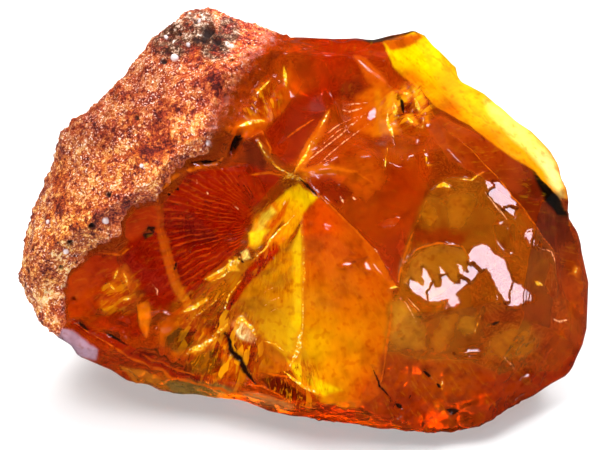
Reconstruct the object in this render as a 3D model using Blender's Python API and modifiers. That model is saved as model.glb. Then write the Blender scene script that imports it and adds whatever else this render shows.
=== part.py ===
"""Raw amber piece: a hand-sized lump of fossil resin, one solid.

A weathered, granular crust still covers the left end and the back. The rest was knocked off, so the
front is a set of shell-shaped breaks that meet in sharp ridges, with a long bevel at the top right, a
ledge under the lower edge and a worn flat underneath that the piece rests on.

Frame: metres, +Z up, origin at the middle of the footprint on the resting flat. +X runs along the
longest side and -Y is the broken front, which leans back.
"""

import math

import bpy
from mathutils import Matrix, Vector, noise

MM = 0.001

# Driving dimensions, in millimetres
WIDTH = 90.0
FRONT_DEPTH = 22.0
BACK_DEPTH = 29.0
LEAN_DEG = 30.0
REST_HEIGHT = 28.6
SET_BACK = 3.5

# The outline of the piece square on to the broken front, corner to corner, as shares of WIDTH
OUTLINE = [
    (0.500, -0.085), (0.498, -0.180), (0.463, -0.266), (0.372, -0.312), (0.297, -0.351),
    (0.212, -0.363), (0.128, -0.354), (0.000, -0.335), (-0.070, -0.322), (-0.120, -0.303),
    (-0.247, -0.294), (-0.320, -0.264), (-0.392, -0.226), (-0.470, -0.168), (-0.500, -0.090),
    (-0.487, 0.000), (-0.458, 0.080), (-0.412, 0.180), (-0.371, 0.208), (-0.316, 0.264),
    (-0.272, 0.325), (-0.214, 0.369), (-0.177, 0.382), (-0.135, 0.369), (-0.060, 0.340),
    (-0.028, 0.328), (0.056, 0.323), (0.119, 0.327), (0.185, 0.343), (0.208, 0.337),
    (0.245, 0.292), (0.291, 0.243), (0.347, 0.199), (0.392, 0.164), (0.424, 0.137),
    (0.447, 0.090), (0.456, 0.040), (0.471, -0.002), (0.487, -0.040),
]

# Square on to the front: across, up the leaning face, and out of it towards the viewer
ACROSS = Vector((1, 0, 0))
UP_FACE = Vector((0, math.sin(math.radians(LEAN_DEG)), math.cos(math.radians(LEAN_DEG))))
OUT = ACROSS.cross(UP_FACE)

# Fresh breaks: where each one lies (across, up, out), the way it faces, and the radius of its bowl
BREAKS = {
    "upper_left_bowl": ((3.5, 17.5, 12.2), (-0.10, 0.30, 0.95), 24),
    "upper_bowl": ((12, 17, 11.4), (0.14, 0.33, 0.93), 60),
    "right_shoulder": ((14, 3, 14.3), (0.16, 0.10, 0.98), 90),
    "middle_face": ((5, -12, 13.6), (-0.17, -0.22, 0.96), 52),
    "dark_band": ((31, 10, 7.2), (0.44, 0.48, 0.76), 60),
    "cloudy_face": ((27, -1, 12.4), (0.34, 0.10, 0.93), 70),
    "lens_bowl": ((22.0, -7.0, 13.4), (0.14, -0.08, 0.99), 21),
    "right_end": ((38.5, -9, 3.6), (0.78, 0.00, 0.62), 55),
    "lower_face": ((22, -20, 9.4), (0.22, -0.42, 0.88), 42),
    "lower_right": ((35, -21, 3.6), (0.52, -0.48, 0.70), 45),
    "left_face": ((-19, -8, 10.6), (-0.05, -0.25, 0.97), 34),
    "ribbed_bowl": ((-11.6, 2.4, 12.6), (0.05, 0.0, 1.0), 16),
    "red_hollow": ((-20.6, -6.0, 10.8), (0.0, -0.10, 0.99), 17),
    "left_chip": ((-31.0, -13.0, 7.2), (-0.22, -0.20, 0.95), 18),
    "glow_bowl": ((-12, -17.5, 7.6), (-0.06, -0.36, 0.93), 22),
    "under_lip": ((-22, -26.2, -0.5), (-0.22, -0.78, 0.58), 120),
    "bright_bevel": ((30.9, 18.8, -1.6), (0.52, 0.59, 0.62), 160),
    "top_nick": ((10, 29.6, 1.0), (-0.05, 0.95, 0.30), 44),
    "back_window": ((8, -4, -24.0), (0.10, -0.15, -0.98), 80),
    "back_left_window": ((-16, 4, -20.5), (-0.45, 0.15, -0.88), 60),
}

# Ledges of the crust: a line over the front (two points, across and up) and how far the side above it
# lies back
LEDGES = [
    ((-37.0, 16.2), (-9.0, 26.0), 2.4),
    ((-25.0, 28.4), (-2.5, 29.4), 2.4),
    ((-44.0, -2.0), (-22.0, 8.5), 1.6),
]

LUMP_STEPS = 6
ROUNDNESS = 0.85
LEDGE_WIDTH = 1.0
# Noise on the lump: the size of its lumps, how high they are, and the seed
LEDGE_WANDER = (6.0, 1.2, 4.4)
SWELLS = [(19.0, 1.6, 3.1), (7.5, 0.8, 5.7)]
GRAIN = [(3.6, 0.5, 8.3), (2.0, 0.3, 1.9)]
PIT_SPACING = 6.0
PIT_REACH = 0.36
PIT_DEPTH = 3.4
WAVE_SIZE = 13.0
WAVE_DEPTH = 2.6
BOWL_REACH = 52.0
BOWL_TOP = 60.0
STEEPEST_SINE = 0.97
BOWL_RINGS = 26
BOWL_SIDES = 56
TRIANGLES_KEPT = 0.34


def outline_reach(angle):
    """How far the outline lies from the middle in this direction, in millimetres."""
    corners = sorted((math.atan2(v, u), math.hypot(u, v)) for u, v in OUTLINE)
    turn = 2 * math.pi
    before = (corners[-1][0] - turn, corners[-1][1])
    after = (corners[0][0] + turn, corners[0][1])
    corners = [before, *corners, after]
    for (a0, r0), (a1, r1) in zip(corners, corners[1:]):
        if a0 <= angle <= a1:
            # A straight line between two corners, in polar form
            across = r0 * math.sin(angle - a0) + r1 * math.sin(a1 - angle)
            return WIDTH * r0 * r1 * math.sin(a1 - a0) / across
    return WIDTH / 2


def lumps(point, size, height, seed):
    """Smooth noise with lumps of this size and height, in millimetres."""
    return height * noise.noise(point / size + Vector((seed, -seed, 2 * seed)))


def placed(across, up, out):
    """A place given square on to the front, in millimetres, as a point in the frame."""
    point = ACROSS * across + UP_FACE * up + OUT * out
    return (point + Vector((0, -SET_BACK, REST_HEIGHT))) * MM


def material(name, colour, roughness, metallic=0.0):
    made = bpy.data.materials.new(name)
    made.use_nodes = True
    shader = made.node_tree.nodes["Principled BSDF"]
    shader.inputs["Base Color"].default_value = (*colour, 1)
    shader.inputs["Roughness"].default_value = roughness
    shader.inputs["Metallic"].default_value = metallic
    return made


def lump_point(direction):
    """Where the unbroken, crusted lump's surface lies in this direction from its middle."""
    across, up, out = direction
    angle = math.atan2(up, across)
    off_axis = min(1.0, math.hypot(across, up))
    reach = outline_reach(angle) * off_axis**ROUNDNESS
    depth = FRONT_DEPTH if out > 0 else BACK_DEPTH
    height = math.copysign(abs(out) ** ROUNDNESS, out) * depth
    return Vector((reach * math.cos(angle), reach * math.sin(angle), height))


def ledge_height(point):
    """How far the crust stands out at this point of the front, over and under its ledges."""
    height = 0.0
    for start, end, step in LEDGES:
        along = Vector(end) - Vector(start)
        across = Vector((point.x, point.y)) - Vector(start)
        below = (along.y * across.x - along.x * across.y) / along.length
        below += lumps(point, *LEDGE_WANDER)
        height += step * (math.tanh(below / LEDGE_WIDTH) - 1) / 2
    return height


def pit_depth(point):
    """The round pits that grains left in the crust."""
    nearest = noise.voronoi(point / PIT_SPACING)[0][0]
    return PIT_DEPTH * max(0.0, PIT_REACH - nearest)


def crusted_lump():
    """The whole lump before it was broken, with the swells, ledges and pits of its weathered crust."""
    bpy.ops.mesh.primitive_ico_sphere_add(subdivisions=LUMP_STEPS, radius=1)
    lump = bpy.context.active_object
    for vertex in lump.data.vertices:
        direction = vertex.co.copy()
        point = lump_point(direction)
        relief = sum(lumps(point, *swell) for swell in SWELLS)
        relief += ledge_height(point) if direction.z > 0 else 0.0
        # These go in and out of the face, so that the outline stays true
        point.z += relief * direction.z
        crust = sum(lumps(point, *grain) for grain in GRAIN) - pit_depth(point)
        point += direction * crust
        vertex.co = placed(*point)
    return lump


def bowl_waves():
    """The slow swells of a break, as a solid texture that the bowls are bent by."""
    waves = bpy.data.textures.new("bowl_waves", "CLOUDS")
    waves.noise_scale = WAVE_SIZE * MM
    waves.noise_depth = 1
    return waves


def bowl_cutter(name, place, facing, radius, waves):
    """A turned block whose underside is the shallow bowl that one blow leaves in the resin."""
    widest = math.asin(min(STEEPEST_SINE, BOWL_REACH / radius))
    angles = [widest * (1 - i / BOWL_RINGS) for i in range(BOWL_RINGS + 1)]
    profile = [(0.0, BOWL_TOP), (radius * math.sin(widest), BOWL_TOP)]
    profile += [(radius * math.sin(a), radius * (1 - math.cos(a))) for a in angles]
    mesh = bpy.data.meshes.new(name)
    points = [(x * MM, 0, z * MM) for x, z in profile]
    mesh.from_pydata(points, [(i, i + 1) for i in range(len(points) - 1)], [])
    cutter = bpy.data.objects.new(name, mesh)
    turned = cutter.modifiers.new("turned", "SCREW")
    turned.steps = turned.render_steps = BOWL_SIDES
    turned.use_merge_vertices = True
    turned.merge_threshold = 0.00001
    uneven = cutter.modifiers.new("uneven", "DISPLACE")
    uneven.texture = waves
    uneven.texture_coords = "GLOBAL"
    uneven.direction = "Z"
    uneven.strength = WAVE_DEPTH * MM
    normal = (ACROSS * facing[0] + UP_FACE * facing[1] + OUT * facing[2]).normalized()
    turn = normal.to_track_quat("Z", "Y").to_matrix().to_4x4()
    cutter.matrix_world = Matrix.Translation(placed(*place)) @ turn
    return cutter


def ground_cutter():
    """Everything below the worn flat that the piece rests on."""
    size = 2 * WIDTH * MM
    bpy.ops.mesh.primitive_cube_add(size=size, location=(0, 0, -size / 2))
    cutter = bpy.context.active_object
    cutter.name = "below_the_flat"
    return cutter


def cut(obj, cutter):
    change = obj.modifiers.new(cutter.name, "BOOLEAN")
    change.operation = "DIFFERENCE"
    change.object = cutter


def main():
    for obj in list(bpy.data.objects):
        bpy.data.objects.remove(obj)
    scene = bpy.context.scene.collection
    piece = bpy.data.collections.new("raw_amber_piece")
    cutters = bpy.data.collections.new("cutters")
    scene.children.link(piece)
    scene.children.link(cutters)

    amber = crusted_lump()
    amber.name = "amber_piece"
    amber.data.materials.append(material("amber", (0.72, 0.21, 0.02), 0.18))

    waves = bowl_waves()
    for name, (place, facing, radius) in BREAKS.items():
        cutter = bowl_cutter(name, place, facing, radius, waves)
        cutters.objects.link(cutter)
        cut(amber, cutter)

    thinned = amber.modifiers.new("thinned", "DECIMATE")
    thinned.ratio = TRIANGLES_KEPT
    ground = ground_cutter()
    cut(amber, ground)

    for obj, home in ((amber, piece), (ground, cutters)):
        for collection in list(obj.users_collection):
            collection.objects.unlink(obj)
        home.objects.link(obj)
    for cutter in cutters.objects:
        cutter.hide_render = True
        cutter.display_type = "WIRE"


main()
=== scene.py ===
import math

import bmesh
import bpy
import numpy as np
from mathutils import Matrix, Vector, noise
from mathutils.kdtree import KDTree


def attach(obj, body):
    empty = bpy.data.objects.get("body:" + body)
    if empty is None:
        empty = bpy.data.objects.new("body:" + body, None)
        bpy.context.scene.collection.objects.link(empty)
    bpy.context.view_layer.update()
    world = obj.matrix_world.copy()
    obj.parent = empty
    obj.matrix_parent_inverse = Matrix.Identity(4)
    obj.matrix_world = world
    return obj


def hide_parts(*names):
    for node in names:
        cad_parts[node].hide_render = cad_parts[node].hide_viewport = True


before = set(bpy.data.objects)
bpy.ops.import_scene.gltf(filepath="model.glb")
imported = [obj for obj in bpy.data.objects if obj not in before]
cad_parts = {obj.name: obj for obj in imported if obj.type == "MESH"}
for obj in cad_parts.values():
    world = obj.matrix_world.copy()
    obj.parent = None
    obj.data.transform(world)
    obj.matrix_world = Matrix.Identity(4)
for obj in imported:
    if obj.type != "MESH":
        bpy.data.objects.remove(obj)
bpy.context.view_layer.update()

MM = 0.001

# The camera: the piece lies on its worn flat with its broken front leaning back, and the camera looks
# square on to that front. Marks on the front are placed by where they show in the photograph, in pixels.
LEAN = math.radians(30)
FRONT_MIDDLE = Vector((-0.945, -3.5, 28.6)) * MM
ACROSS = Vector((1, 0, 0))
UP_FACE = Vector((0, math.sin(LEAN), math.cos(LEAN)))
OUT = ACROSS.cross(UP_FACE)
CAMERA_DISTANCE = 420 * MM
LENS, SENSOR = 160, 36
PHOTO_WIDTH, PHOTO_HEIGHT = 600, 450

camera = bpy.data.objects.new("camera", bpy.data.cameras.new("camera"))
bpy.context.scene.collection.objects.link(camera)
camera.location = FRONT_MIDDLE + OUT * CAMERA_DISTANCE
camera.rotation_mode = "QUATERNION"
camera.rotation_quaternion = OUT.to_track_quat("Z", "Y")
camera.data.lens = LENS
camera.data.sensor_width = SENSOR
camera.data.clip_start = 0.01
bpy.context.scene.camera = camera


def seen_at(points):
    """Where points (an array of rows, in metres) show in the photograph, as an array of pixel pairs."""
    from_middle = points - np.array(FRONT_MIDDLE)
    focal = PHOTO_WIDTH * LENS / SENSOR / (CAMERA_DISTANCE - from_middle @ np.array(OUT))
    across = PHOTO_WIDTH / 2 + focal * (from_middle @ np.array(ACROSS))
    down = PHOTO_HEIGHT / 2 - focal * (from_middle @ np.array(UP_FACE))
    return np.stack([across, down], axis=1)


# The lump of amber, fossil resin in one piece. The solid gives its form: a copy of it gets a fine even
# skin, coarser behind, and its bowls are smoothed between their ridges, which stay sharp.
SAME_POINT = 1e-6
SKIN = 0.33 * MM
SKIN_KEPT = 0.43
THINNED_FROM, THINNED_BY = 3.0, -3.0
RIDGE_ANGLE = math.radians(20)
RIDGE_STEP = 0.3 * MM
RIDGE_KEPT, BOWL_SMOOTHED = 0.25 * MM, 1.3 * MM
SMOOTHING_ROUNDS, SMOOTHING = 45, 0.5
WEIGHT_LEVELS = 10

bpy.ops.object.select_all(action="DESELECT")
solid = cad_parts["amber_piece"]
amber = solid.copy()
amber.data = solid.data.copy()
amber.parent = None
for key in list(amber.keys()):
    del amber[key]
amber.name = "raw_amber"
bpy.context.scene.collection.objects.link(amber)
bpy.context.view_layer.objects.active = amber
amber.select_set(True)
bpy.ops.object.mode_set(mode="EDIT")
bpy.ops.mesh.select_all(action="SELECT")
bpy.ops.mesh.remove_doubles(threshold=SAME_POINT)
bpy.ops.object.mode_set(mode="OBJECT")


def ridge_points(mesh):
    """Points along every sharp edge of the solid, close together, in a tree that finds the nearest."""
    shape = bmesh.new()
    shape.from_mesh(mesh)
    points = []
    for edge in shape.edges:
        if len(edge.link_faces) == 2 and edge.calc_face_angle(0.0) > RIDGE_ANGLE:
            start, end = (corner.co for corner in edge.verts)
            count = max(1, math.ceil((end - start).length / RIDGE_STEP))
            points += [start.lerp(end, i / count) for i in range(count + 1)]
    shape.free()
    tree = KDTree(len(points))
    for i, point in enumerate(points):
        tree.insert(point, i)
    tree.balance()
    return tree


def smooth_step(low, high, value):
    """0 up to low and 1 from high on, with a smooth rise between them. High may be the smaller."""
    share = np.clip((value - low) / (high - low), 0.0, 1.0)
    return share * share * (3 - 2 * share)


def apply_all(piece):
    bpy.context.view_layer.objects.active = piece
    for change in list(piece.modifiers):
        bpy.ops.object.modifier_apply(modifier=change.name)


def rows_of(items, name):
    """A vector of each vertex of a mesh, as an array of rows."""
    rows = np.empty(len(items) * 3)
    items.foreach_get(name, rows)
    return rows.reshape(-1, 3)


def weigh(piece, name, shares):
    """Gives each point of the skin a weight, for a modifier to read."""
    group = piece.vertex_groups.new(name=name)
    for level in range(1, WEIGHT_LEVELS + 1):
        chosen = np.flatnonzero(np.round(shares * WEIGHT_LEVELS) == level)
        group.add(chosen.tolist(), level / WEIGHT_LEVELS, "REPLACE")


def out_of_front(points):
    """How far points stand out of the plane of the broken front, in millimetres."""
    return (points - np.array(FRONT_MIDDLE)) @ np.array(OUT) / MM


ridges = ridge_points(amber.data)
skin = amber.modifiers.new("skin", "REMESH")
skin.mode = "VOXEL"
skin.voxel_size = SKIN
apply_all(amber)
behind = smooth_step(THINNED_FROM, THINNED_BY, out_of_front(rows_of(amber.data.vertices, "co")))
weigh(amber, "behind", behind)
thinned = amber.modifiers.new("thinned", "DECIMATE")
thinned.ratio = SKIN_KEPT
thinned.vertex_group = "behind"
apply_all(amber)
amber.vertex_groups.clear()

from_ridge = np.array([ridges.find(v.co)[2] for v in amber.data.vertices])
weigh(amber, "bowls", smooth_step(RIDGE_KEPT, BOWL_SMOOTHED, from_ridge))
smoothed = amber.modifiers.new("smoothed", "SMOOTH")
smoothed.iterations = SMOOTHING_ROUNDS
smoothed.factor = SMOOTHING
smoothed.vertex_group = "bowls"
apply_all(amber)
amber.vertex_groups.clear()

# The crust, the weathered skin that is left at the upper left and over the back. Its edge across the
# front is named by pixels. Towards the upper edge it is thin, the right end has none, and behind it
# leaves bare two broken windows and the places where it is worn through.
CRUST_EDGE = [
    (302, 20), (286, 47), (270, 62), (262, 80), (252, 97), (240, 114), (232, 128), (227, 146), (213, 160),
    (191, 165), (180, 172), (165, 188), (157, 203), (137, 209), (126, 222), (124, 236), (101, 248),
    (91, 254), (71, 274), (65, 293), (69, 319), (52, 350),
]
CRUST_SOFT = 1.5
# How far in from that edge the crust is thin, in pixels, and where along the edge that grows
THIN_LEAST, THIN_MORE, THIN_WHERE = 6, 38, (0.46, 0.3)
# Where the crust of the back starts, in millimetres out of the front's plane, and how much further back
# it starts at the right end, between these pixels across
BACK_CRUST = (2.0, -4.0)
BARE_END = [(10, 400, 450), (12, 480, 540)]
WORN_THROUGH = (-0.05, -0.2)
# The broken windows of the back: a place, the way that each faces, and the radius of its bowl
AXES = np.array([ACROSS, UP_FACE, OUT])
WINDOWS_MIDDLE = np.array([0, -3.5, 28.6])
BACK_WINDOWS = [
    ((8, -4, -24.0), (0.10, -0.15, -0.98), 80),
    ((-16, 4, -20.5), (-0.45, 0.15, -0.88), 60),
]
WINDOW_REACH = (1.6, 0.9)
# How squarely the skin has to face the camera to carry the marks of the front: not at all, and in full
FACING = (-0.12, 0.06)
BROAD_LUMPS, FINE_LUMPS = 3.5, 0.9
GRAIN_SLOPE = 1.6


def along_line(spots, line):
    """How far spots are from a line, on which side (left of it, where it runs down, is positive), and
    how far along it they are, as a share of its length."""
    nearest = np.full(len(spots), 1e9)
    side = np.ones(len(spots))
    progress = np.zeros(len(spots))
    lengths = [math.dist(start, end) for start, end in zip(line, line[1:])]
    for i, (start, end) in enumerate(zip(line, line[1:])):
        a, b = np.array(start, float), np.array(end, float)
        along = b - a
        share = np.clip(((spots - a) @ along) / (along @ along), 0, 1)
        gap = spots - (a + share[:, None] * along)
        distance = np.hypot(gap[:, 0], gap[:, 1])
        closer = distance < nearest
        nearest = np.where(closer, distance, nearest)
        side = np.where(closer, np.sign(along[0] * gap[:, 1] - along[1] * gap[:, 0]), side)
        progress = np.where(closer, (sum(lengths[:i]) + share * lengths[i]) / sum(lengths), progress)
    return nearest, side, progress


def noise_over(points, size, seed):
    """Smooth noise from -1 to 1 at each point (in metres), with lumps of this size in millimetres."""
    shift = Vector((seed, 2 * seed, -seed))
    return np.array([noise.noise(Vector(p) + shift) for p in points / (size * MM)])


def grains_over(points, size, seed):
    """Round grains: 1 in the middle of each, down to 0 between them."""
    shift = Vector((seed, 2 * seed, -seed))
    nearest = np.array([noise.voronoi(Vector(p) + shift)[0][0] for p in points / (size * MM)])
    return np.clip(1 - nearest * GRAIN_SLOPE, 0, 1)


def off_bowl(points, place, turned, radius):
    """How far points stand off the sphere that a bowl is part of, in millimetres."""
    normal = np.array(turned) @ AXES
    centre = WINDOWS_MIDDLE + np.array(place) @ AXES + normal / np.linalg.norm(normal) * radius
    return np.abs(np.linalg.norm(points / MM - centre, axis=1) - radius)


# The skin is twice as fine round the broad glint of the right face, whose edge has fine teeth
FINE_PLACES = [((430, 284), 34), ((465, 266), 30), ((505, 275), 34), ((502, 197), 24)]
FINE_FACING = 0.2
points = rows_of(amber.data.vertices, "co")
spots = seen_at(points)
fine_place = np.min([np.hypot(*(spots - middle).T) - reach for middle, reach in FINE_PLACES], axis=0) < 0
fine_place &= rows_of(amber.data.vertex_normals, "vector") @ np.array(OUT) > FINE_FACING
amber.data.vertices.foreach_set("select", fine_place)
for face in amber.data.polygons:
    face.select = all(fine_place[i] for i in face.vertices)
for edge in amber.data.edges:
    edge.select = all(fine_place[i] for i in edge.vertices)
bpy.ops.object.mode_set(mode="EDIT")
bpy.ops.mesh.subdivide(number_cuts=1)
bpy.ops.object.mode_set(mode="OBJECT")

points = rows_of(amber.data.vertices, "co")
normals = rows_of(amber.data.vertex_normals, "vector")
spots = seen_at(points)
facing = smooth_step(*FACING, normals @ np.array(OUT))

# Noise lets the edges of things wander, so that none is drawn as with a ruler
broad_wander = np.stack([noise_over(points, BROAD_LUMPS, 1.5), noise_over(points, BROAD_LUMPS, 7.5)], axis=1)
fine_wander = np.stack([noise_over(points, FINE_LUMPS, 2.5), noise_over(points, FINE_LUMPS, 8.5)], axis=1)
ragged = spots + 5 * broad_wander + 3 * fine_wander
drifted = spots + 2.5 * broad_wander + 1.2 * fine_wander
marked = spots + 1.1 * broad_wander + 0.5 * fine_wander
teeth = spots + 0.8 * broad_wander + 1.2 * fine_wander

distance, side, progress = along_line(ragged, CRUST_EDGE)
front_crust = smooth_step(-CRUST_SOFT, CRUST_SOFT, distance * side)
thin_reach = THIN_LEAST + THIN_MORE * smooth_step(*THIN_WHERE, progress)
thin = smooth_step(1.0, 0.1, distance / thin_reach)
bare_end = sum(by * smooth_step(start, full, spots[:, 0]) for by, start, full in BARE_END)
behind = smooth_step(*BACK_CRUST, out_of_front(points) + bare_end)
worn = noise_over(points, 13.0, 6.3) + 0.25 * noise_over(points, 2.5, 4.4)
bare = smooth_step(*WORN_THROUGH, worn)
for place, turned, radius in BACK_WINDOWS:
    bare = np.maximum(bare, smooth_step(*WINDOW_REACH, off_bowl(points, place, turned, radius)))
crust = np.clip(np.maximum(front_crust, behind * (1 - bare)), 0, 1)

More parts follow.
